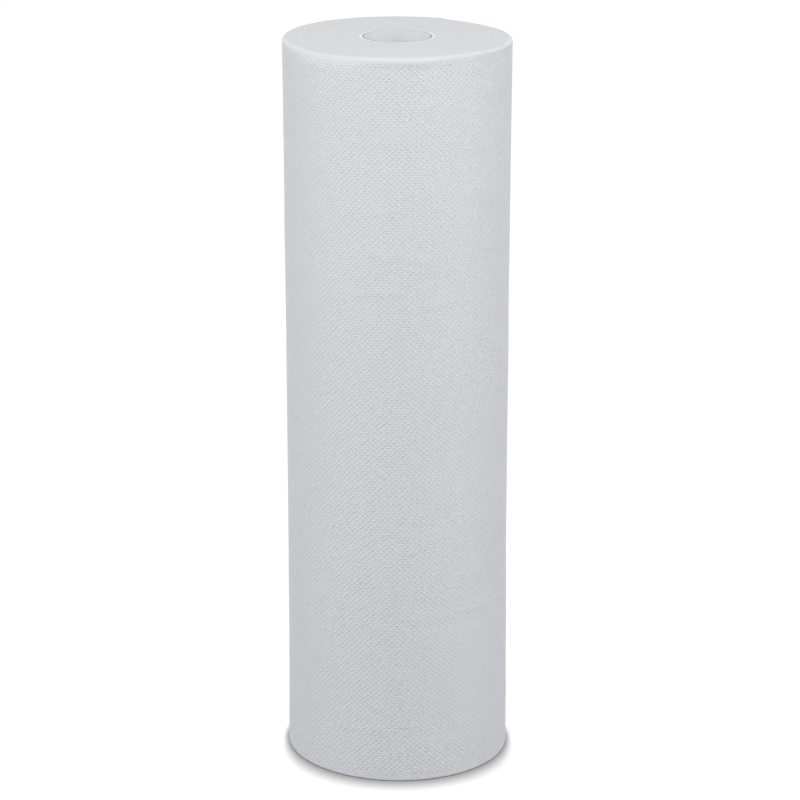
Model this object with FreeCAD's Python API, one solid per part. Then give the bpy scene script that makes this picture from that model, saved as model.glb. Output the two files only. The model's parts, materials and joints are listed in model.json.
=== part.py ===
import FreeCAD, Part
import math
import os

# Exam table paper roll: a wide web of soft two-ply tissue wound on a thin board core, standing
# on one end. Millimetres. +Z runs up the roll's axis, and the origin is the centre of the end
# that it stands on. Angles are in degrees about +Z, counted from +X towards +Y.

# ---- Driving dimensions ----

# The wound paper
WEB_WIDTH = 500.0  # width of the paper, so the height of the standing roll
ROLL_DIAMETER = 154.0  # over the outer turn at the sawn ends, the mean of all directions
WEB_THICKNESS = 0.27  # both embossed plies as wound, so the step at the paper's free edge
WAIST = 0.9  # the radius half way up is smaller than at the ends by this much
HEAD_ROUNDING = 3.0  # radius of the soft outer edge round the upper end
FOOT_ROUNDING = 1.2  # and round the lower end, which the roll's weight presses sharper
OUT_OF_ROUND = 0.9  # the soft roll's half width is larger by this one way, and smaller across it
WIDEST_AT = 116.0  # direction of the wider diameter

# The board core
CORE_BORE = 45.0  # hole for a holder's rod
CORE_WALL = 0.8  # two plies of board

# ---- What follows from them ----

CORE_DIAMETER = CORE_BORE + 2 * CORE_WALL  # the first turn lies tight on the core

# The outer turn is a spiral of four quarter circles, each tangent to the next. It starts at the
# paper's free edge, on the back. The quarters turn by turn have a tighter and a flatter curve,
# which makes the roll slightly oval, and each radius is also smaller than the one before, so
# that the turn ends one web thickness under its own start.
QUARTER = 90.0
FREE_EDGE_AT = WIDEST_AT - QUARTER / 2
CURVE_CHANGE = OUT_OF_ROUND / (math.sqrt(2) - 1)  # makes that much difference in half width
SHRINK = WEB_THICKNESS / 4  # from one quarter's radius to the next
# Directions from the roll's axis to the four quarters' centres: along the free edge's
# direction, and across it.
QUARTER_SIDES = ((1, 1), (1, -1), (-1, -1), (-1, 1))
ARC_INSET = 1 - math.sqrt(0.5)  # of a rounding's middle from both its faces, in radii


def toward(angle, distance):
    """Level vector at an angle."""
    turn = math.radians(angle)
    return FreeCAD.Vector(distance * math.cos(turn), distance * math.sin(turn), 0.0)


def quarter_centre(quarter):
    """Foot of the axis that a quarter of the outer turn curves about."""
    along, across = QUARTER_SIDES[quarter]
    return (toward(FREE_EDGE_AT, along * (CURVE_CHANGE + SHRINK / 2))
            + toward(FREE_EDGE_AT + QUARTER, across * (CURVE_CHANGE - SHRINK / 2)))


def quarter_radius(quarter):
    """Radius of a quarter of the outer turn, at the sawn ends."""
    tighter_or_flatter = -CURVE_CHANGE if quarter % 2 == 0 else CURVE_CHANGE
    return ROLL_DIAMETER / 2 + tighter_or_flatter - SHRINK * quarter


def roll_section(centre, angle, radius):
    """Section of the wound paper from a quarter's axis out: flat sawn ends, a soft rim at each,
    and a side that draws in a little half way up."""
    def point(distance, height):
        return centre + toward(angle, distance) + FreeCAD.Vector(0, 0, height)

    def rim(rounding, end_height, inward):
        inset = rounding * ARC_INSET
        return Part.Arc(point(radius - rounding, end_height),
                        point(radius - inset, end_height + inward * inset),
                        point(radius, end_height + inward * rounding))

    foot_rim = rim(FOOT_ROUNDING, 0, 1)
    head_rim = rim(HEAD_ROUNDING, WEB_WIDTH, -1)
    side = Part.BezierCurve()  # a parabola, which goes half way to its middle pole
    side.setPoles([foot_rim.EndPoint, point(radius - 2 * WAIST, WEB_WIDTH / 2),
                   head_rim.EndPoint])
    outline = [
        Part.LineSegment(point(0, 0), foot_rim.StartPoint),
        foot_rim,
        side,
        head_rim,
        Part.LineSegment(head_rim.StartPoint, point(0, WEB_WIDTH)),
        Part.LineSegment(point(0, WEB_WIDTH), point(0, 0)),
    ]
    edges = Part.sortEdges([curve.toShape() for curve in outline])[0]
    return Part.Face(Part.Wire(edges))


def roll_quarter(quarter):
    """A quarter of the wound paper, turned about that quarter's own axis."""
    centre = quarter_centre(quarter)
    section = roll_section(centre, FREE_EDGE_AT + QUARTER * quarter, quarter_radius(quarter))
    return section.revolve(centre, FreeCAD.Vector(0, 0, 1), QUARTER)


def paper_roll():
    """All the turns as one solid, with the free edge of the last one as a step down its back."""
    quarters = [roll_quarter(quarter) for quarter in range(len(QUARTER_SIDES))]
    wound = quarters[0].fuse(quarters[1:])
    return wound.cut(Part.makeCylinder(CORE_DIAMETER / 2, WEB_WIDTH)).removeSplitter()


def core_tube():
    """Board tube, sawn off together with the paper and so flush with it at both ends."""
    tube = Part.makeCylinder(CORE_DIAMETER / 2, WEB_WIDTH)
    return tube.cut(Part.makeCylinder(CORE_BORE / 2, WEB_WIDTH))


def main():
    """Writes one STEP file for each separate piece."""
    os.makedirs("parts", exist_ok=True)
    pieces = {"paper_roll": paper_roll(), "core_tube": core_tube()}
    for name, shape in pieces.items():
        shape.exportStep(os.path.join("parts", name + ".step"))
        print(name, "valid:", shape.isValid(), "solids:", len(shape.Solids),
              "faces:", len(shape.Faces), "volume in mm3:", round(shape.Volume))


main()
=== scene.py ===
"""Exam table paper roll: a web of embossed white tissue on a board core, stood on end."""

import json
import logging
import math
from collections.abc import Callable
from dataclasses import dataclass
from enum import Enum
from random import Random

import bmesh
import bpy
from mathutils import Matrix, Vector


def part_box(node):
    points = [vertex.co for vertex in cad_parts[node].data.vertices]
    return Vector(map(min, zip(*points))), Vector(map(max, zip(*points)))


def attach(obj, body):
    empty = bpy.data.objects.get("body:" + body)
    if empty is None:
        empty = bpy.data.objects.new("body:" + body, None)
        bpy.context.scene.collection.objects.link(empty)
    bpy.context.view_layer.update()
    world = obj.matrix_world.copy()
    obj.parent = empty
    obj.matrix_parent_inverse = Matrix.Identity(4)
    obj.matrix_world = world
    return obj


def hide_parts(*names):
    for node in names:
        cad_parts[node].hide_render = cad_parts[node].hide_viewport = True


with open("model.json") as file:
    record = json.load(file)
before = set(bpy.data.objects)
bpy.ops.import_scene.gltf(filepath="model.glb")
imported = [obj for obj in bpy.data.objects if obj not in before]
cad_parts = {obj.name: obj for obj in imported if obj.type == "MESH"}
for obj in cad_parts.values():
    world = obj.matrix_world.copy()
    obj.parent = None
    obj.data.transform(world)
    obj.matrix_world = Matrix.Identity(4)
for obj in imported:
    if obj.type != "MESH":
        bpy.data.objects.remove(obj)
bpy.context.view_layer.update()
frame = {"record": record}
PAPER_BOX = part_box("paper_roll")
CORE_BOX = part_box("core_tube")
CORE_BORE = next(mount for mount in frame["record"]["mounts"] if mount["name"] == "core_bore")
CORE_BORE_RADIUS = CORE_BORE["dims"]["r_mm"] / 1000

MM = 0.001  # every size is kept in metres
NEAR = 0.01 * MM  # two places this near are one place
QUARTER = math.pi / 2
FULL_TURN = 2 * math.pi
TURN_LOSS = 0.2 * MM  # the outer turn starts this much wider than the mean of its box
SMOOTH_UP_TO = math.radians(40)  # between faces that shade as one curve
LEVEL_FACE = 0.97  # least share of a level face's normal that points up or down
NOISE_SPAN = (0.3, 0.7)  # nearly all of a noise lies in it

Socket = bpy.types.NodeSocket
Triple = tuple[float, float, float]
Colour = Triple
Wire = float | tuple[float, ...] | Socket

log = logging.getLogger("paper_roll")


class End(Enum):
    """The two sawn ends of the roll, with the way each one faces."""

    FOOT = -1
    HEAD = 1


class Face(Enum):
    """The finish slots of both pieces, in the order they are filled."""

    SIDE = 0
    SAWN = 1


class Part(Enum):
    """The kinds of mesh part that can be picked."""

    POINT = "VERT"
    EDGE = "EDGE"
    FACE = "FACE"


# -------------------------------- bench tools


@dataclass
class Bench:
    """Edit mode on one mesh object, with the selections a modeller makes by eye made by place."""

    piece: bpy.types.Object

    def __enter__(self) -> "Bench":
        """Opens edit mode with nothing selected.

        Returns:
            The bench itself.
        """
        bpy.ops.object.select_all(action="DESELECT")
        self.piece.select_set(True)
        bpy.context.view_layer.objects.active = self.piece
        bpy.ops.object.mode_set(mode="EDIT")
        bpy.ops.mesh.select_mode(type="VERT")
        bpy.ops.mesh.select_all(action="DESELECT")
        return self

    def __exit__(self, *_: object) -> None:
        """Closes edit mode."""
        bpy.ops.object.mode_set(mode="OBJECT")

    def pick(self, kind: Part, wanted: Callable[..., bool]) -> int:
        """Selects mesh parts of one kind, and what they hold between them.

        Args:
            kind: which kind is picked.
            wanted: says of a part whether it is picked.

        Returns:
            How many parts were picked.
        """
        bpy.ops.mesh.select_mode(type=kind.value)
        bpy.ops.mesh.select_all(action="DESELECT")
        mesh = bmesh.from_edit_mesh(self.piece.data)
        parts = {Part.POINT: mesh.verts, Part.EDGE: mesh.edges, Part.FACE: mesh.faces}[kind]
        picked = [part for part in parts if wanted(part)]
        for part in picked:
            part.select = True
        mesh.select_flush_mode()
        bmesh.update_edit_mesh(self.piece.data)
        return len(picked)

    def pick_points(self, wanted: Callable[[Vector], bool]) -> int:
        """Selects the points whose place is wanted, and returns how many."""
        return self.pick(Part.POINT, lambda point: wanted(point.co))

    def pick_edges(self, wanted: Callable[[bmesh.types.BMEdge], bool]) -> int:
        """Selects the edges that are wanted, and returns how many."""
        return self.pick(Part.EDGE, wanted)

    def pick_faces(self, wanted: Callable[[bmesh.types.BMFace], bool]) -> int:
        """Selects the faces that are wanted, and returns how many."""
        return self.pick(Part.FACE, wanted)

    def fit_ring(self, radius: float, level: float) -> None:
        """Centres the selected ring of points, which is round, on the axis and resizes it.

        Args:
            radius: the radius it gets.
            level: its height.
        """
        mesh = bmesh.from_edit_mesh(self.piece.data)
        places = [point.co for point in mesh.verts if point.select]
        low = [min(place[side] for place in places) for side in (0, 1)]
        high = [max(place[side] for place in places) for side in (0, 1)]
        factor = 2 * radius / (high[0] - low[0])
        bpy.ops.transform.translate(value=(-(low[0] + high[0]) / 2, -(low[1] + high[1]) / 2, 0))
        bpy.ops.transform.resize(value=(factor, factor, 1), center_override=(0, 0, level))

    @staticmethod
    def pull(shift: Vector | Triple, reach: float, connected: bool = False) -> None:
        """Moves what is selected, and what is round it less and less.

        Args:
            shift: how far.
            reach: how far off the move dies away.
            connected: whether only what is joined to the selection follows it.
        """
        bpy.ops.transform.translate(
            value=shift, use_proportional_edit=True, use_proportional_connected=connected,
            proportional_edit_falloff="SMOOTH", proportional_size=reach)

    def paint(self, slot: int) -> None:
        """Gives the selected faces the finish in a slot."""
        self.piece.active_material_index = slot
        bpy.ops.object.material_slot_assign()


def rename(piece: bpy.types.Object, name: str) -> bpy.types.Object:
    """Names an object and its mesh.

    Args:
        piece: the object.
        name: the name that both get.

    Returns:
        The object.
    """
    piece.name = name
    piece.data.name = name
    return piece


def freeze(piece: bpy.types.Object) -> None:
    """Moves an object's place, turn and size into its mesh.

    Args:
        piece: the object.
    """
    bpy.ops.object.select_all(action="DESELECT")
    piece.select_set(True)
    bpy.context.view_layer.objects.active = piece
    bpy.ops.object.transform_apply(location=True, rotation=True, scale=True)


def level_distance(place: Vector) -> float:
    """Distance of a point from the roll's axis."""
    return math.hypot(place.x, place.y)


def outward(degrees: float) -> Vector:
    """The level direction away from the axis at a bearing."""
    return Vector((math.cos(math.radians(degrees)), math.sin(math.radians(degrees)), 0.0))


# -------------------------------- finishes


class Graph:
    """The node tree of a material or of the world, with short ways to add and wire nodes."""

    def __init__(self, owner: bpy.types.Material | bpy.types.World) -> None:
        """Empties the tree.

        Args:
            owner: what the tree belongs to.
        """
        self.owner = owner
        owner.use_nodes = True
        self.tree = owner.node_tree
        self.tree.nodes.clear()

    def add(self, kind: str, wires: dict[str | int, Wire] | None = None,
            **settings: object) -> bpy.types.Node:
        """Adds a node.

        Args:
            kind: the node's type.
            wires: what goes into each input: a number, a tuple or another node's output.
            settings: the node's own settings.

        Returns:
            The new node.
        """
        node = self.tree.nodes.new(kind)
        for setting, value in settings.items():
            setattr(node, setting, value)
        for socket, value in (wires or {}).items():
            if isinstance(value, Socket):
                self.tree.links.new(value, node.inputs[socket])
            else:
                node.inputs[socket].default_value = value
        return node

    def calc(self, operation: str, *values: Wire) -> Socket:
        """Adds a Math node and returns its result."""
        return self.add("ShaderNodeMath", dict(enumerate(values)), operation=operation).outputs[0]

    def vector(self, operation: str, *values: Wire, result: int = 0) -> Socket:
        """Adds a Vector Math node and returns the named one of its results."""
        node = self.add("ShaderNodeVectorMath", dict(enumerate(values)), operation=operation)
        return node.outputs[result]

    def ramp(self, value: Wire, start: float, end: float, low: float = 0.0,
             high: float = 1.0) -> Socket:
        """Adds a smooth step.

        Args:
            value: what is stepped on.
            start: the value at which the step begins.
            end: the value at which it is done.
            low: the result up to start.
            high: the result from end on.

        Returns:
            The stepped value.
        """
        wires = {"Value": value, "From Min": start, "From Max": end, "To Min": low, "To Max": high}
        return self.add("ShaderNodeMapRange", wires, interpolation_type="SMOOTHSTEP").outputs[0]

    def noise(self, place: Wire, scale: float, detail: float = 2.0,
              roughness: float = 0.5) -> Socket:
        """Adds a noise between 0 and 1 about 0.5, and returns it."""
        wires = {"Vector": place, "Scale": scale, "Detail": detail, "Roughness": roughness}
        return self.add("ShaderNodeTexNoise", wires).outputs[0]

    def spread(self, noise: Wire, low: float = 0.0, high: float = 1.0) -> Socket:
        """Stretches a noise, so that nearly all of it reaches from low to high."""
        return self.ramp(noise, *NOISE_SPAN, low, high)

    def mix(self, share: Wire, first: Wire, second: Wire) -> Socket:
        """Adds a blend of two colours and returns it."""
        wires = {0: share, 6: first, 7: second}
        return self.add("ShaderNodeMix", wires, data_type="RGBA", clamp_factor=True).outputs[2]

    def place(self, turned: float = 0.0) -> Socket:
        """Adds the place on the piece.

        Args:
            turned: how far it is turned about the roll's axis, in radians.

        Returns:
            The place.
        """
        here = self.add("ShaderNodeTexCoord").outputs["Object"]
        if not turned:
            return here
        wires = {"Vector": here, "Rotation": (0, 0, turned)}
        return self.add("ShaderNodeMapping", wires).outputs[0]

    def parts(self, place: Wire) -> tuple[Socket, ...]:
        """Splits a place into X, Y and Z."""
        return tuple(self.add("ShaderNodeSeparateXYZ", {0: place}).outputs)

    def paper_surface(self, colour: Wire, roughness: Wire, height: Wire,
                      specular: float) -> bpy.types.Material:
        """Adds the shader of a matt paper or board and finishes the material.

        Args:
            colour: its colour all over.
            roughness: how matt it is.
            height: its relief in metres, which becomes bump.
            specular: how much it shines.

        Returns:
            The finished material.
        """
        bump = self.add("ShaderNodeBump", {"Strength": 1.0, "Distance": 1.0, "Height": height})
        shader = self.add("ShaderNodeBsdfPrincipled", {
            "Base Color": colour, "Roughness": roughness, "Normal": bump.outputs[0],
            "Specular IOR Level": specular})
        self.add("ShaderNodeOutputMaterial", {"Surface": shader.outputs[0]})
        return self.owner

    def seen(self) -> Socket:
        """Adds the test of whether a ray shows the room itself: straight, mirrored or through.

        Returns:
            1 for such a ray and 0 for a ray that carries light to the object.
        """
        path = self.add("ShaderNodeLightPath").outputs
        mirrored = self.calc("MAXIMUM", path["Is Camera Ray"], path["Is Glossy Ray"])
        return self.calc("MAXIMUM", mirrored, path["Is Transmission Ray"])


@dataclass(frozen=True)
class Stray:
    """How the rows of an embossing wander on the soft web."""

    rate: float  # waverings in a metre
    reach: float
    start: float  # a place of its own in the noise


@dataclass(frozen=True)
class DimpleRows:
    """One embossing roll's grid of dimples: two sets of slanting rows that cross."""

    pitch_rising: float  # between rows that rise to the right
    rising: float  # how steeply they rise, in degrees
    pitch_falling: float
    falling: float
    depth: float
    rising_share: float  # half of how far the relief sinks between the rows that rise
    falling_share: float  # and between the rows that fall
    strays: tuple[Stray, ...]
    lean: float = 0.2  # how much steeper a dimple's upper flank is than its lower one

    def relief(self, graph: Graph, web: Socket) -> Socket:
        """Adds the relief of the grid.

        Args:
            graph: the material's tree.
            web: the place on the flat web, along it and across it.

        Returns:
            Height in metres: the depth where rows of both sets cross, and about 0 in the
            dimples between them.
        """
        for stray in self.strays:
            web = self.wander(graph, web, stray)
        waves = [self.wave(graph, web, self.pitch_rising, self.rising, self.rising_share),
                 self.wave(graph, web, self.pitch_falling, -self.falling, self.falling_share)]
        return graph.calc("MULTIPLY", graph.calc("MULTIPLY", *waves), self.depth)

    @staticmethod
    def wander(graph: Graph, web: Socket, stray: Stray) -> Socket:
        """Adds a place on the web, shifted as the rows stray there.

        Args:
            graph: the material's tree.
            web: the place on the flat web.
            stray: how they stray.

        Returns:
            The shifted place.
        """
        start = graph.vector("ADD", web, (stray.start, stray.start, 0.0))
        wires = {"Vector": start, "Scale": stray.rate, "Detail": 1.0}
        noise = graph.add("ShaderNodeTexNoise", wires).outputs[1]
        shift = graph.vector("SUBTRACT", noise, (0.5, 0.5, 0.5))
        return graph.vector("MULTIPLY_ADD", shift, (stray.reach, stray.reach, 0.0), web)

    def wave(self, graph: Graph, web: Socket, pitch: float, slant: float,
             share: float) -> Socket:
        """Adds a wave across one set of rows.

        Args:
            graph: the material's tree.
            web: the place on the flat web.
            pitch: distance from row to row.
            slant: how steeply the rows rise, in degrees.
            share: half of the wave's height; it is 1 at its crests.

        Returns:
            The wave.
        """
        turn = math.radians(slant) - QUARTER
        step = (FULL_TURN * math.cos(turn) / pitch, FULL_TURN * math.sin(turn) / pitch, 0.0)
        phase = graph.vector("DOT_PRODUCT", web, step, result=1)
        phase = graph.calc("MULTIPLY_ADD", graph.calc("COSINE", phase), self.lean, phase)
        return graph.calc("MULTIPLY_ADD", graph.calc("COSINE", phase), share, 1 - share)


@dataclass(frozen=True)
class EmbossedTissue:
    """The outer turn: soft white tissue with two crossing grids of fine dimples."""

    turn_radius: float
    web_width: float
    free_edge_at: float
    name: str = "embossed_tissue"
    colour: Colour = (0.868, 0.871, 0.886)
    # painted shade: the dimples between the crests are coloured darker than the crests
    dimple_shade_colour: Colour = (0.845, 0.848, 0.863)
    rim_shade_colour: Colour = (0.825, 0.828, 0.842)  # painted shade that tones down the lamp's highlight on the rounded upper rim
    coarse: DimpleRows = DimpleRows(
        pitch_rising=2.76 * MM, rising=44.3, pitch_falling=2.67 * MM, falling=41.3,
        depth=0.285 * MM, rising_share=0.6, falling_share=0.56,
        strays=(Stray(30.0, 1.2 * MM, 0.0), Stray(130.0, 0.4 * MM, 0.0)))
    fine: DimpleRows = DimpleRows(
        pitch_rising=1.96 * MM, rising=38.9, pitch_falling=1.92 * MM, falling=43.3,
        depth=0.152 * MM, rising_share=0.6, falling_share=0.5,
        strays=(Stray(50.0, 1.5 * MM, 5.0), Stray(130.0, 0.4 * MM, 5.0)))
    plain_rim: float = 2.8 * MM  # the rounded rim shows no dimples
    full_from: float = 5.0 * MM
    slack_at: float = 365 * MM  # height at which the web ran slack and has the most fine folds
    slack_reach: float = 150 * MM
    slack_least: float = 0.4  # share of the fine folds that is left beyond that
    streak_rates: Triple = (26.0, 380.0, 1.0)  # fine folds in a metre, along and across the web
    streak_relief: float = 0.07 * MM
    fibre_rate: float = 1400.0
    fibre_relief: float = 0.006 * MM
    pressed_rate: float = 110.0  # changes in a metre of how deep the dimples are pressed
    pressed: tuple[float, float] = (0.85, 1.12)  # share of the full depth, least and most
    pressed_at_head: float = 0.8  # the embossing roller bit a little less at that end
    cloud_rate: float = 16.0
    cloud_colour: Colour = (0.3, 0.34, 0.42)  # faint uneven whiteness
    cloud_share: float = 0.012
    cloud_span: tuple[float, float] = (0.25, 0.75)
    roughness: tuple[float, float] = (0.86, 0.98)
    specular: float = 0.12

    def material(self) -> bpy.types.Material:
        """Makes the material.

        Returns:
            The material.
        """
        graph = Graph(bpy.data.materials.new(self.name))
        place = graph.place(turned=math.pi - self.free_edge_at)  # bearings jump at the free edge
        x, y, z = graph.parts(place)
        along = graph.calc("MULTIPLY", graph.calc("ARCTAN2", y, x), self.turn_radius)
        flat = graph.add("ShaderNodeCombineXYZ", {0: along, 1: z}).outputs[0]

        dimples = self.dimples(graph, flat, z)
        fibres = graph.noise(place, self.fibre_rate, detail=3.0, roughness=0.6)
        relief = graph.calc("MULTIPLY_ADD", fibres, self.fibre_relief, dimples)
        relief = graph.calc("ADD", self.streaks(graph, flat, z), relief)

        # painted shade in the dimples: the colour darkens from the crests down into them
        raised = graph.ramp(dimples, 0.0, self.coarse.depth + self.fine.depth)
        colour = graph.mix(raised, (*self.dimple_shade_colour, 1), (*self.colour, 1))
        cloud = graph.ramp(graph.noise(place, self.cloud_rate, detail=1.0), *self.cloud_span)
        colour = graph.mix(
            cloud, graph.mix(self.cloud_share, colour, (*self.cloud_colour, 1)), colour)
        # painted shade on the upper rim, which dims its highlight there
        rim = graph.ramp(z, self.web_width - self.full_from, self.web_width - self.plain_rim)
        colour = graph.mix(rim, colour, (*self.rim_shade_colour, 1))
        roughness = graph.spread(fibres, *self.roughness)
        return graph.paper_surface(colour, roughness, relief, self.specular)

    def dimples(self, graph: Graph, flat: Socket, z: Socket) -> Socket:
        """Adds the relief of both grids, which fades out at the rims.

        Args:
            graph: the material's tree.
            flat: the place on the flat web.
            z: the height above the floor.

        Returns:
            Height in metres.
        """
        grids = graph.calc("ADD", self.coarse.relief(graph, flat), self.fine.relief(graph, flat))
        from_end = graph.calc("MINIMUM", z, graph.calc("SUBTRACT", self.web_width, z))
        shown = graph.ramp(from_end, self.plain_rim, self.full_from)
        bite = graph.ramp(z, 0.0, self.web_width, 1.0, self.pressed_at_head)
        pressed = graph.spread(graph.noise(flat, self.pressed_rate), *self.pressed)
        shown = graph.calc("MULTIPLY", graph.calc("MULTIPLY", shown, bite), pressed)
        return graph.calc("MULTIPLY", grids, shown)

    def streaks(self, graph: Graph, flat: Socket, z: Socket) -> Socket:
        """Adds the relief of the fine folds along the web, deepest where it ran slack.

        Args:
            graph: the material's tree.
            flat: the place on the flat web.
            z: the height above the floor.

        Returns:
            Height in metres.
        """
        folds = graph.noise(graph.vector("MULTIPLY", flat, self.streak_rates), 1.0)
        away = graph.calc("ABSOLUTE", graph.calc("SUBTRACT", z, self.slack_at))
        slack = graph.ramp(away, 0.0, self.slack_reach, 1.0, self.slack_least)
        return graph.calc("MULTIPLY", graph.calc("MULTIPLY", folds, slack), self.streak_relief)


@dataclass(frozen=True)
class SawnEnd:
    """The sawn ends: hundreds of turns edge on, in bands that were wound a little tighter or
    looser."""

    gauge: float
    free_edge_at: float
    core_radius: float
    name: str = "sawn_end"
    # painted shade: both are set darker than the outer turn's white to offset the stronger light
    # that falls on the head from above; the bands keep their own tone
    colour: Colour = (0.742, 0.747, 0.762)
    band_colour: Colour = (0.716, 0.722, 0.74)
    bore_highlight_colour: Colour = (0.92, 0.93, 0.945)  # painted highlight: a bright ring on the turns next to the core
    bore_highlight: tuple[float, float] = (0.6 * MM, 2.6 * MM)  # from the core, where it fades and ends
    wander_rate: float = 30.0
    wander: float = 1.2 * MM
    band_rate: float = 420.0  # bands in a metre outwards
    wide_band_rate: float = 90.0
    saw_rates: Triple = (60.0, 900.0, 1.0)  # marks in a metre, along and across the saw's way
    shade_shares: Triple = (0.5, 0.5, 0.15)  # of the bands, the wide bands and the turns
    shade_span: tuple[float, float] = (0.35, 0.8)
    turn_relief: float = 0.03 * MM
    band_relief: float = 0.06 * MM
    saw_relief: float = 0.02 * MM
    roughness: float = 0.95
    specular: float = 0.1

    def material(self) -> bpy.types.Material:
        """Makes the material.

        Returns:
            The material.
        """
        graph = Graph(bpy.data.materials.new(self.name))
        place = graph.place(turned=math.pi - self.free_edge_at)  # bearings jump at the free edge
        x, y, _ = graph.parts(place)
        out = graph.vector("LENGTH", graph.vector("MULTIPLY", place, (1, 1, 0)), result=1)
        spiral = graph.calc("MULTIPLY_ADD", graph.calc("ARCTAN2", y, x),
                            self.gauge / FULL_TURN, out)
        slow = graph.calc("SUBTRACT", graph.noise(place, self.wander_rate), 0.5)
        spiral = graph.calc("MULTIPLY_ADD", slow, self.wander, spiral)

        turns = self.rings(graph, spiral, 1 / (2 * self.gauge))
        bands = self.rings(graph, spiral, self.band_rate)
        wide = self.rings(graph, spiral, self.wide_band_rate)
        saw = graph.noise(graph.vector("MULTIPLY", place, self.saw_rates), 1.0)

        of_bands, of_wide, of_turns = self.shade_shares
        shade = graph.calc("MULTIPLY_ADD", bands, of_bands, graph.calc("MULTIPLY", wide, of_wide))
        shade = graph.calc("MULTIPLY_ADD", turns, of_turns, shade)
        shade = graph.ramp(shade, *self.shade_span)
        colour = graph.mix(shade, (*self.band_colour, 1), (*self.colour, 1))
        # painted highlight: the ring next to the core is coloured much brighter
        fades, ends = self.bore_highlight
        bore_highlight = graph.ramp(out, self.core_radius + fades, self.core_radius + ends, 1.0, 0.0)
        colour = graph.mix(bore_highlight, colour, (*self.bore_highlight_colour, 1))

        relief = graph.calc("MULTIPLY", turns, self.turn_relief)
        relief = graph.calc("MULTIPLY_ADD", bands, self.band_relief, relief)
        relief = graph.calc("MULTIPLY_ADD", saw, self.saw_relief, relief)
        return graph.paper_surface(colour, self.roughness, relief, self.specular)

    @staticmethod
    def rings(graph: Graph, distance: Wire, rate: float) -> Socket:
        """Adds a noise that changes only with the distance from the axis.

        Args:
            graph: the material's tree.
            distance: distance from the axis.
            rate: changes per metre.

        Returns:
            The noise, between 0 and 1.
        """
        wires = {"W": distance, "Scale": rate, "Detail": 2.0}
        return graph.add("ShaderNodeTexNoise", wires, noise_dimensions="1D").outputs[0]


@dataclass(frozen=True)
class CoreBoard:
    """Grey board, smooth on its liner and rough where it is sawn."""

    name: str
    colour: Colour
    fleck_colour: Colour
    grain: float
    seam_lead: float = 0.0  # rise of the liner's winding in a turn, if its joint shows
    seam_colour: Colour = (0.66, 0.665, 0.685)
    seam_width: float = 1.0 * MM
    seam_depth: float = 0.2 * MM
    fibre_rate: float = 900.0
    cloud_rate: float = 70.0
    cloud_part: float = 0.6  # of the mottling; the rest is the fibres'
    roughness: tuple[float, float] = (0.7, 0.85)
    specular: float = 0.3

    def material(self) -> bpy.types.Material:
        """Makes the material.

        Returns:
            The material.
        """
        graph = Graph(bpy.data.materials.new(self.name))
        place = graph.place()
        fibres = graph.noise(place, self.fibre_rate, detail=4.0, roughness=0.65)
        clouds = graph.noise(place, self.cloud_rate, detail=3.0)
        fine = graph.calc("MULTIPLY", fibres, 1 - self.cloud_part)
        share = graph.calc("MULTIPLY_ADD", clouds, self.cloud_part, fine)
        colour = graph.mix(graph.spread(share), (*self.fleck_colour, 1), (*self.colour, 1))
        relief = graph.calc("MULTIPLY", fibres, self.grain)
        if self.seam_lead:
            x, y, z = graph.parts(place)
            turned = graph.calc("MULTIPLY_ADD", graph.calc("ARCTAN2", y, x), 1 / FULL_TURN, 0.5)
            turned = graph.calc("MULTIPLY_ADD", z, 1 / self.seam_lead, turned)
            joint = graph.ramp(graph.calc("FRACT", turned), 0.0,
                               self.seam_width / self.seam_lead, 1.0, 0.0)
            colour = graph.mix(joint, colour, (*self.seam_colour, 1))
            relief = graph.calc("MULTIPLY_ADD", joint, -self.seam_depth, relief)
        roughness = graph.spread(clouds, *self.roughness)
        return graph.paper_surface(colour, roughness, relief, self.specular)


# -------------------------------- the pieces


@dataclass(frozen=True)
class Crease:
    """A faint fold pressed in or out of the outer turn where the web ran slack."""

    at: float  # degrees about the axis of its middle
    height: float
    length: float  # along the web
    rise: float  # how much higher its far end is
    lift: float  # outwards if more than 0
    reach: float = 4 * MM  # how far from its line it dies away


@dataclass(frozen=True)
class Slump:
    """A stretch of the upper rim that has gone rounder, or that has stayed sharper."""

    start: float  # degrees about the axis
    end: float
    sink: float  # inwards and down; outwards and up if less than 0
    reach: float  # how far from the rim it dies away
    spans: tuple[float, ...] = (1.0, 0.8, 0.6, 0.4)  # shares of it that are pressed in turn


@dataclass(frozen=True)
class Swell:
    """An all-over rise and fall of the outer turn."""

    name: str
    scale: float  # from one rise to the next
    strength: float


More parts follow.
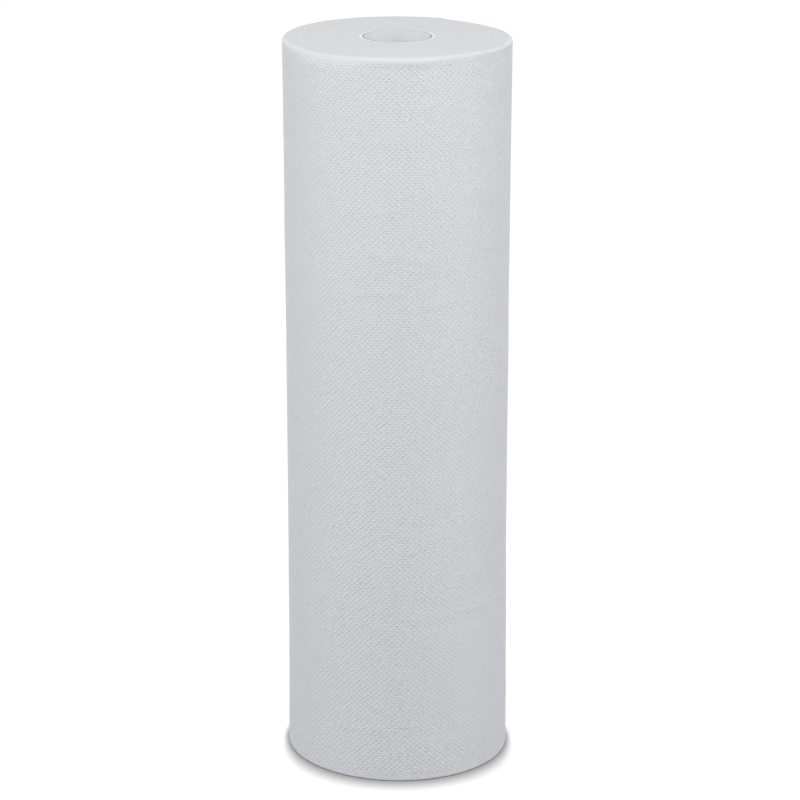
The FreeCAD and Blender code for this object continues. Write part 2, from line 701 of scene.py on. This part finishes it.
@dataclass
class WoundPaper:
    """The tissue as wound: the outer turn with its free edge, two soft rims, the two sawn ends
    and the bore that the core fills."""

    diameter: float
    width: float
    core_radius: float
    gauge: float = 0.27 * MM
    waist: float = 0.9 * MM
    head_rounding: float = 3.0 * MM
    foot_rounding: float = 1.2 * MM  # pressed sharper by the roll's weight
    out_of_round: float = 0.9 * MM
    widest_at: float = math.radians(116.0)
    steps_per_quarter: int = 60
    tall_rows: int = 31
    rows_in_each: int = 8
    rings: int = 22
    rim_steps: int = 6
    tight_turns: float = 2.0 * MM  # the turns next to the core, which are truly round
    sink: float = 0.14 * MM  # how far single bands of turns lie below their neighbours
    free_length: float = 10 * MM  # of the web that stands off the roll at its free edge
    free_steps: int = 4
    free_ripples: int = 6
    ripple_lift: tuple[float, float] = (0.2 * MM, 0.9 * MM)
    ripple_place: tuple[float, float] = (0.2, 0.8)  # within its own share of the height
    ripple_core: float = 6 * MM  # half the height that a ripple lifts in full
    ripple_reach: float = 32 * MM
    swells: tuple[Swell, ...] = (Swell("slow_swell", 0.11, 0.7 * MM),
                                 Swell("soft_dents", 0.035, 0.25 * MM))
    swell_group: str = "outer_turn"  # the points that they move
    swell_steps: int = 6
    swell_from: float = 30 * MM  # from the rims, where the swells have grown to the full
    outer_layer: float = 5 * MM  # how deep the swells go
    seed: int = 11
    slump_part: tuple[float, float] = (0.1, 0.55)  # of the rounding's drop, that a slump moves
    slumps: tuple[Slump, ...] = (Slump(-156.0, -104.0, 1.4 * MM, 7 * MM),
                                 Slump(-70.0, 0.0, -0.5 * MM, 3 * MM),
                                 Slump(14.0, 70.0, 0.8 * MM, 8 * MM))
    folds: tuple[Crease, ...] = (  # those on the front
        Crease(-90.0, 496.5 * MM, 40 * MM, 0.0, 0.4 * MM, 5 * MM),
        Crease(-74.0, 496.5 * MM, 36 * MM, 0.0, 0.25 * MM),
        Crease(-97.0, 444.0 * MM, 44 * MM, 0.5 * MM, 0.14 * MM),
        Crease(-81.0, 451.0 * MM, 33 * MM, -1.0 * MM, 0.12 * MM),
        Crease(-95.0, 398.0 * MM, 42 * MM, 0.5 * MM, 0.14 * MM),
        Crease(-86.0, 368.0 * MM, 44 * MM, -6.0 * MM, 0.18 * MM, 5 * MM),
        Crease(-100.0, 344.0 * MM, 33 * MM, 1.0 * MM, 0.22 * MM),
        Crease(-70.0, 336.0 * MM, 48 * MM, 1.5 * MM, 0.2 * MM),
        Crease(-97.0, 287.0 * MM, 32 * MM, 1.0 * MM, 0.12 * MM),
        Crease(-62.0, 111.0 * MM, 33 * MM, 1.0 * MM, -0.14 * MM),
        Crease(-96.0, 38.0 * MM, 52 * MM, 0.5 * MM, 0.18 * MM),
        Crease(-88.5, 36.5 * MM, 4 * MM, 0.0, -0.5 * MM),
        Crease(-46.0, 111.0 * MM, 4 * MM, 0.0, -0.4 * MM),
    )
    fold_width: float = 1.1 * MM  # half the height that is pressed in full
    folds_elsewhere: int = 34

    def __post_init__(self) -> None:
        """Works out the four arcs of the outer turn."""
        self.free_edge_at = self.widest_at - QUARTER / 2
        self.curve_change = self.out_of_round / (math.sqrt(2) - 1)
        self.shrink = self.gauge / 4
        self.random = Random(self.seed)

    def build(self) -> bpy.types.Object:
        """Models the piece, dresses it and puts it on its body.

        Returns:
            The finished object.
        """
        piece = self.half_section()
        with Bench(piece) as bench:
            self.wind()
            self.close_free_edge(bench)
            self.loosen_free_edge(bench)
            self.fit_round_bore(bench)
            self.sink_bands(bench)
        piece.rotation_euler.z = self.free_edge_at
        freeze(piece)
        self.slacken(piece)
        with Bench(piece) as bench:
            for slump in self.slumps:
                self.soften(bench, slump)
            for crease in self.creases():
                self.press(bench, crease)
            self.dress(bench)
        bpy.ops.object.shade_smooth_by_angle(angle=SMOOTH_UP_TO)
        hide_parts("paper_roll")
        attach(piece, "root")
        return piece

    def quarter_centre(self, quarter: int) -> Vector:
        """Finds the axis that a quarter of the outer turn curves about.

        Args:
            quarter: which quarter, from 0 to 3.

        Returns:
            The foot of the axis.
        """
        along, across = ((1, 1), (1, -1), (-1, -1), (-1, 1))[quarter]
        return Vector((along * (self.curve_change + self.shrink / 2),
                       across * (self.curve_change - self.shrink / 2), 0.0))

    def half_section(self) -> bpy.types.Object:
        """Draws half of the roll's section, from near the core out, as a line of edges.

        Returns:
            The object, with the section standing in the plane where the free edge is.
        """
        start = self.quarter_centre(0)
        outer = start.x + self.diameter / 2 - self.curve_change
        inner = self.core_radius + self.tight_turns
        bpy.ops.object.select_all(action="DESELECT")
        bpy.ops.mesh.primitive_plane_add(
            size=1, location=((outer + inner) / 2, start.y, self.width / 2),
            rotation=(QUARTER, 0, 0))
        piece = rename(bpy.context.object, "wound_paper")
        piece.scale = (outer - inner, self.width, 1)
        freeze(piece)
        with Bench(piece) as bench:
            for end, rounding in ((End.HEAD, self.head_rounding), (End.FOOT, self.foot_rounding)):
                bench.pick_points(lambda p: p.x > outer - NEAR and (
                    p.z - self.width / 2) * end.value > self.width / 2 - NEAR)
                bpy.ops.mesh.bevel(offset=rounding, segments=self.rim_steps,
                                   affect="VERTICES", profile=0.5)
            bpy.ops.mesh.select_all(action="SELECT")
            bpy.ops.mesh.delete(type="ONLY_FACE")
            bench.pick_edges(lambda e: all(v.co.x < inner + NEAR for v in e.verts))
            bpy.ops.mesh.delete(type="EDGE")
            # the two lines of the sawn ends, and then the one of the side
            bench.pick_edges(lambda e: 5 * self.head_rounding < e.calc_length() < self.width / 2)
            bpy.ops.mesh.subdivide(number_cuts=self.rings - 1)
            bench.pick_edges(lambda e: e.calc_length() > self.width / 2)
            bpy.ops.mesh.subdivide(number_cuts=self.tall_rows - 1)
            bpy.ops.mesh.subdivide(number_cuts=self.rows_in_each - 1)
            middle = (self.foot_rounding + self.width - self.head_rounding) / 2
            bench.pick_points(lambda p: p.x > outer - NEAR and abs(p.z - middle) < NEAR)
            bpy.ops.transform.translate(
                value=(-self.waist, 0, 0), use_proportional_edit=True,
                proportional_edit_falloff="INVERSE_SQUARE",
                proportional_size=middle - self.foot_rounding)
        return piece

    def wind(self) -> None:
        """Turns the section round the four axes of the outer turn, a quarter about each."""
        bpy.ops.mesh.select_all(action="SELECT")
        for quarter in range(4):
            bpy.ops.mesh.spin(steps=self.steps_per_quarter, angle=-QUARTER, dupli=False,
                              center=self.quarter_centre(quarter), axis=(0, 0, 1))

    def close_free_edge(self, bench: Bench) -> None:
        """Closes the turn: its end lies one web under its start, and the web's cut edge shows.

        Args:
            bench: edit mode on the piece.
        """
        line = self.quarter_centre(0).y

        def on_line(place: Vector) -> bool:
            """Whether a place is where the turn starts and ends."""
            return place.x > 0 and abs(place.y - line) < NEAR

        bench.pick_edges(lambda e: e.is_boundary and all(on_line(v.co) for v in e.verts)
                         and abs(e.verts[0].co.z - e.verts[1].co.z) > NEAR)
        bpy.ops.mesh.bridge_edge_loops()
        bench.pick_points(lambda p: on_line(p) and (p.z < NEAR or p.z > self.width - NEAR))
        bpy.ops.mesh.remove_doubles(threshold=1.2 * self.gauge)

    def loosen_free_edge(self, bench: Bench) -> None:
        """Lets the web's last stretch stand off the roll, straight but for a few ripples.

        Args:
            bench: edit mode on the piece.
        """
        line = self.quarter_centre(0).y

        def cut_edge(face: bmesh.types.BMFace) -> bool:
            """Whether a face is part of the web's cut edge."""
            return all(abs(v.co.y - line) < NEAR and v.co.x > self.core_radius
                       for v in face.verts)

        bench.pick_faces(cut_edge)
        for _ in range(self.free_steps):
            bpy.ops.mesh.extrude_region_move(TRANSFORM_OT_translate={
                "value": (0, -self.free_length / self.free_steps, 0)})
        end = line - self.free_length
        for ripple in range(self.free_ripples):
            place = ripple + self.random.uniform(*self.ripple_place)
            height = place * self.width / self.free_ripples
            bench.pick_points(lambda p: p.x > self.diameter / 3 and abs(p.y - end) < NEAR
                              and abs(p.z - height) < self.ripple_core)
            bench.pull((self.random.uniform(*self.ripple_lift), 0, 0), self.ripple_reach,
                       connected=True)

    def fit_round_bore(self, bench: Bench) -> None:
        """Closes each sawn end up to a true circle and lines the bore between the circles.

        Args:
            bench: edit mode on the piece.
        """
        reach = self.core_radius + 2 * self.tight_turns

        def at_end(edge: bmesh.types.BMEdge, level: float) -> bool:
            """Whether an edge is on the open ring of the end at a level."""
            return edge.is_boundary and all(
                abs(v.co.z - level) < NEAR and level_distance(v.co) < reach for v in edge.verts)

        for level in (0.0, self.width):
            bench.pick_edges(lambda e: at_end(e, level))
            bpy.ops.mesh.extrude_edges_move()
            bpy.ops.transform.tosphere(value=1.0)
            bench.fit_ring(self.core_radius, level)
        bpy.ops.mesh.extrude_edges_move(TRANSFORM_OT_translate={"value": (0, 0, -self.width)})
        bench.pick_points(lambda p: level_distance(p) < self.core_radius + NEAR and p.z < NEAR)
        bpy.ops.mesh.remove_doubles(threshold=5 * NEAR)
        bpy.ops.mesh.select_all(action="SELECT")
        bpy.ops.mesh.normals_make_consistent(inside=False)

    def sink_bands(self, bench: Bench) -> None:
        """Lets some bands of turns lie a little below their neighbours on the sawn ends.

        Args:
            bench: edit mode on the piece.
        """
        span = self.diameter / 2 - self.head_rounding - self.core_radius - self.tight_turns
        step = span / self.rings
        for end in End:
            level = self.width if end is End.HEAD else 0.0
            for ring in range(2, self.rings - 1):
                middle = self.core_radius + self.tight_turns + ring * step
                depth = self.random.uniform(0.0, self.sink)
                bench.pick_points(lambda p: abs(p.z - level) < NEAR and abs(
                    level_distance(p) - middle) < step / 2 - self.out_of_round / 2)
                bpy.ops.transform.translate(value=(0, 0, -end.value * depth))

    def slacken(self, piece: bpy.types.Object) -> None:
        """Gives the outer turn the slow rise and fall of a soft roll.

        Args:
            piece: the wound roll.
        """
        piece.vertex_groups.new(name=self.swell_group)
        with Bench(piece) as bench:
            for step in range(1, self.swell_steps + 1):
                start = self.head_rounding + self.swell_from * (step - 1) / self.swell_steps
                bench.pick_points(
                    lambda p: level_distance(p) > self.diameter / 2 - self.outer_layer
                    and start <= p.z <= self.width - start)
                bpy.context.scene.tool_settings.vertex_group_weight = step / self.swell_steps
                bpy.ops.object.vertex_group_assign()
        for swell in self.swells:
            texture = bpy.data.textures.new(swell.name, "CLOUDS")
            texture.cloud_type = "COLOR"
            texture.noise_scale = swell.scale
            texture.noise_depth = 1
            modifier = piece.modifiers.new(swell.name, "DISPLACE")
            modifier.texture = texture
            modifier.texture_coords = "LOCAL"
            modifier.direction = "RGB_TO_XYZ"
            modifier.strength = swell.strength
            modifier.mid_level = 0.5
            modifier.vertex_group = self.swell_group  # applying one makes the groups anew
            bpy.ops.object.modifier_apply(modifier=modifier.name)

    def creases(self) -> list[Crease]:
        """Lists the folds: those on the front, and some more of the kind round the rest of it.

        Returns:
            The folds.
        """
        draw = self.random.uniform
        others = [
            Crease(at=draw(-40.0, 220.0), height=draw(0.05, 0.95) * self.width,
                   length=draw(12, 50) * MM, rise=draw(-3, 3) * MM,
                   lift=draw(-0.12, 0.2) * MM, reach=draw(4, 6) * MM)
            for _ in range(self.folds_elsewhere)
        ]
        return [*self.folds, *others]

    def soften(self, bench: Bench, slump: Slump) -> None:
        """Presses a stretch of the upper rim rounder, or draws it out.

        Args:
            bench: edit mode on the piece.
            slump: the stretch.
        """
        middle = outward((slump.start + slump.end) / 2)
        sink = slump.sink / len(slump.spans) / math.sqrt(2)
        size = 1 - 2 * sink / self.diameter
        for span in slump.spans:  # ever less of the stretch, so that it fades at its ends
            spread = math.cos(span * math.radians(slump.end - slump.start) / 2)

            def on_rim(place: Vector) -> bool:
                """Whether a place is on the stretch's rounding."""
                drop, out = (self.width - place.z) / self.head_rounding, level_distance(place)
                return (self.slump_part[0] < drop < self.slump_part[1]
                        and out > self.diameter / 3 and place.dot(middle) > out * spread)

            bench.pick_points(on_rim)
            bench.pull((0, 0, -sink), slump.reach)
            bpy.ops.transform.resize(
                value=(size, size, 1), center_override=(0, 0, self.width),
                use_proportional_edit=True, proportional_edit_falloff="SMOOTH",
                proportional_size=slump.reach)

    def press(self, bench: Bench, crease: Crease) -> None:
        """Presses one fold into the outer turn.

        Args:
            bench: edit mode on the piece.
            crease: the fold.
        """
        middle = outward(crease.at)
        sideways = Vector((-middle.y, middle.x, 0.0))

        def on_fold(place: Vector) -> bool:
            """Whether a place is on the fold's line."""
            level = crease.height + crease.rise * place.dot(sideways) / crease.length
            return (abs(place.dot(sideways)) < crease.length / 2
                    and abs(place.z - level) < self.fold_width
                    and place.dot(middle) >= self.diameter / 4)

        if bench.pick_points(on_fold):
            bench.pull(middle * crease.lift, crease.reach)

    def dress(self, bench: Bench) -> None:
        """Gives the outer turn and the sawn ends their finishes.

        Args:
            bench: edit mode on the piece.
        """
        finishes = {
            Face.SIDE: EmbossedTissue(self.diameter / 2, self.width, self.free_edge_at),
            Face.SAWN: SawnEnd(self.gauge, self.free_edge_at, self.core_radius),
        }
        for face in Face:
            bench.piece.data.materials.append(finishes[face].material())
        bench.pick_faces(lambda f: abs(f.normal.z) > LEVEL_FACE or level_distance(
            f.calc_center_median()) < self.core_radius + self.tight_turns)
        bench.paint(Face.SAWN.value)


@dataclass
class BoardCore:
    """The board tube that the paper is wound on, sawn off together with it."""

    radius: float
    bore_radius: float
    length: float
    around: int = 144
    liner: CoreBoard = CoreBoard(
        "core_liner", (0.82, 0.825, 0.845), (0.785, 0.79, 0.81), 0.01 * MM, seam_lead=87 * MM)
    sawn_edge: CoreBoard = CoreBoard(
        "core_sawn_edge", (0.26, 0.265, 0.28), (0.18, 0.185, 0.2), 0.05 * MM)

    def build(self) -> bpy.types.Object:
        """Models the tube, dresses it and puts it on its body.

        Returns:
            The finished object.
        """
        bpy.ops.object.select_all(action="DESELECT")
        bpy.ops.mesh.primitive_cylinder_add(
            vertices=self.around, radius=self.radius, depth=self.length,
            end_fill_type="NOTHING", location=(0, 0, self.length / 2))
        piece = rename(bpy.context.object, "board_core")
        freeze(piece)
        factor = self.bore_radius / self.radius
        with Bench(piece) as bench:
            for level in (0.0, self.length):
                bench.pick_edges(lambda e: e.is_boundary and all(
                    abs(v.co.z - level) < NEAR and level_distance(v.co) > self.radius - NEAR
                    for v in e.verts))
                bpy.ops.mesh.extrude_edges_move()
                bpy.ops.transform.resize(value=(factor, factor, 1),
                                         center_override=(0, 0, level))
            bench.pick_edges(lambda e: e.is_boundary)
            bpy.ops.mesh.bridge_edge_loops()
            bpy.ops.mesh.select_all(action="SELECT")
            bpy.ops.mesh.normals_make_consistent(inside=False)
            self.dress(bench)
        bpy.ops.object.shade_smooth_by_angle(angle=SMOOTH_UP_TO)
        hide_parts("core_tube")
        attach(piece, "root")
        return piece

    def dress(self, bench: Bench) -> None:
        """Gives the liner and the sawn edge their finishes.

        Args:
            bench: edit mode on the piece.
        """
        for finish in (self.liner, self.sawn_edge):
            bench.piece.data.materials.append(finish.material())
        bench.pick_faces(lambda f: abs(f.normal.z) > LEVEL_FACE)
        bench.paint(Face.SAWN.value)


# -------------------------------- the studio


@dataclass(frozen=True)
class SoftLamp:
    """A square soft lamp aimed at the upper part of the roll."""

    name: str
    bearing: float  # degrees round from the front, to the right if more than 0
    rise: float  # degrees above level
    watts: float
    distance: float = 2.4
    size: float = 1.3
    aim: float = 0.4  # height of the place that it lights

    def build(self) -> None:
        """Hangs the lamp."""
        data = bpy.data.lights.new(self.name, "AREA")
        data.shape = "SQUARE"
        data.size = self.size
        data.energy = self.watts
        lamp = bpy.data.objects.new(self.name, data)
        bearing, rise = math.radians(self.bearing), math.radians(self.rise)
        way = Vector((math.sin(bearing) * math.cos(rise), -math.cos(bearing) * math.cos(rise),
                      math.sin(rise)))
        lamp.location = way * self.distance + Vector((0, 0, self.aim))
        lamp.rotation_euler = (-way).to_track_quat("-Z", "Y").to_euler()
        bpy.context.scene.collection.objects.link(lamp)


@dataclass
class Studio:
    """A white room: even light from all round, a few soft lamps, a pale floor and the camera."""

    ambient: Colour = (0.060, 0.064, 0.070)
    floor_colour: Colour = (0.50, 0.52, 0.55)
    shadow_reach: float = 20 * MM  # in front of the roll
    shadow_least: float = 5 * MM  # behind and beside it
    shadow_strength: float = 1.8
    floor_size: float = 30.0
    camera_place: Triple = (0.0018, -2.0347, 0.8704)
    camera_dip: float = math.radians(16.99)
    lens: float = 140.0  # mm
    frame_width: float = 36.0  # mm
    seen_floor_colour: Colour = (0.05, 0.05, 0.05)
    lamps: tuple[SoftLamp, ...] = (
        SoftLamp("front", 0.0, 41.0, 20.7, distance=1.7, size=1.1, aim=0.52),
        SoftLamp("left", -76.0, 22.0, 19.7),
        SoftLamp("right", 76.0, 22.0, 19.7),
        SoftLamp("back_left", -148.0, 20.0, 21.6),
        SoftLamp("back_right", 148.0, 20.0, 21.6),
    )

    def build(self) -> None:
        """Sets up the room."""
        self.light_room()
        self.lay_floor()
        for lamp in self.lamps:
            lamp.build()
        self.set_camera()
        bpy.context.scene.view_settings.view_transform = "Standard"

    def light_room(self) -> None:
        """Makes the world: white where it is seen, an even grey where it lights."""
        world = bpy.data.worlds.new("room")
        bpy.context.scene.world = world
        graph = Graph(world)
        colour = graph.mix(graph.seen(), (*self.ambient, 1), (1, 1, 1, 1))
        background = graph.add("ShaderNodeBackground", {"Color": colour})
        graph.add("ShaderNodeOutputWorld", {"Surface": background.outputs[0]})

    def lay_floor(self) -> None:
        """Lays a floor that is seen white with the roll's soft shadow on it."""
        bpy.ops.object.select_all(action="DESELECT")
        bpy.ops.mesh.primitive_plane_add(size=self.floor_size, location=(0, 0, 0))
        floor = rename(bpy.context.object, "floor")
        graph = Graph(bpy.data.materials.new("pale_floor"))
        x, y, _ = graph.parts(graph.add("ShaderNodeNewGeometry").outputs["Position"])
        out = graph.calc("SQRT", graph.calc("MULTIPLY_ADD", x, x, graph.calc("MULTIPLY", y, y)))
        ahead = graph.calc("DIVIDE", graph.calc("MULTIPLY", y, -1.0), out)
        reach = graph.ramp(ahead, 0.0, 1.0, self.shadow_least, self.shadow_reach)
        closeness = graph.add("ShaderNodeAmbientOcclusion", {"Distance": reach})
        shadow = graph.calc("POWER", closeness.outputs["AO"], self.shadow_strength)
        shine = graph.add("ShaderNodeEmission", {"Color": shadow})
        seen_paint = graph.add("ShaderNodeBsdfDiffuse", {"Color": (*self.seen_floor_colour, 1)})
        seen = graph.add("ShaderNodeAddShader", {0: shine.outputs[0], 1: seen_paint.outputs[0]})
        paint = graph.add("ShaderNodeBsdfDiffuse", {"Color": (*self.floor_colour, 1)})
        surface = graph.add("ShaderNodeMixShader", {
            0: graph.seen(), 1: paint.outputs[0], 2: seen.outputs[0]})
        graph.add("ShaderNodeOutputMaterial", {"Surface": surface.outputs[0]})
        floor.data.materials.append(graph.owner)

    def set_camera(self) -> None:
        """Stands the camera in front of the roll, a little above it."""
        data = bpy.data.cameras.new("camera")
        data.lens = self.lens
        data.sensor_width = self.frame_width
        data.clip_end = 100.0
        camera = bpy.data.objects.new("camera", data)
        camera.location = self.camera_place
        camera.rotation_euler = (QUARTER - self.camera_dip, 0, 0)
        bpy.context.scene.collection.objects.link(camera)
        bpy.context.scene.camera = camera


# -------------------------------- all together


def report(piece: bpy.types.Object) -> None:
    """Logs a piece's name, size and count of faces.

    Args:
        piece: the finished piece.
    """
    size = piece.dimensions
    log.info("%s: %.1f x %.1f x %.1f mm, %d faces", piece.name, size.x / MM, size.y / MM,
             size.z / MM, len(piece.data.polygons))


def main() -> None:
    """Builds the roll and the room round it."""
    logging.basicConfig(level=logging.INFO, format="%(name)s: %(message)s")
    paper_low, paper_high = PAPER_BOX
    core_low, core_high = CORE_BOX
    paper_size = paper_high - paper_low
    diameter = (paper_size.x + paper_size.y) / 2 + TURN_LOSS
    core_radius = (core_high.x - core_low.x) / 2
    report(WoundPaper(diameter, paper_size.z, core_radius).build())
    report(BoardCore(core_radius, CORE_BORE_RADIUS, core_high.z - core_low.z).build())
    Studio().build()


if __name__ == "__main__":
    main()
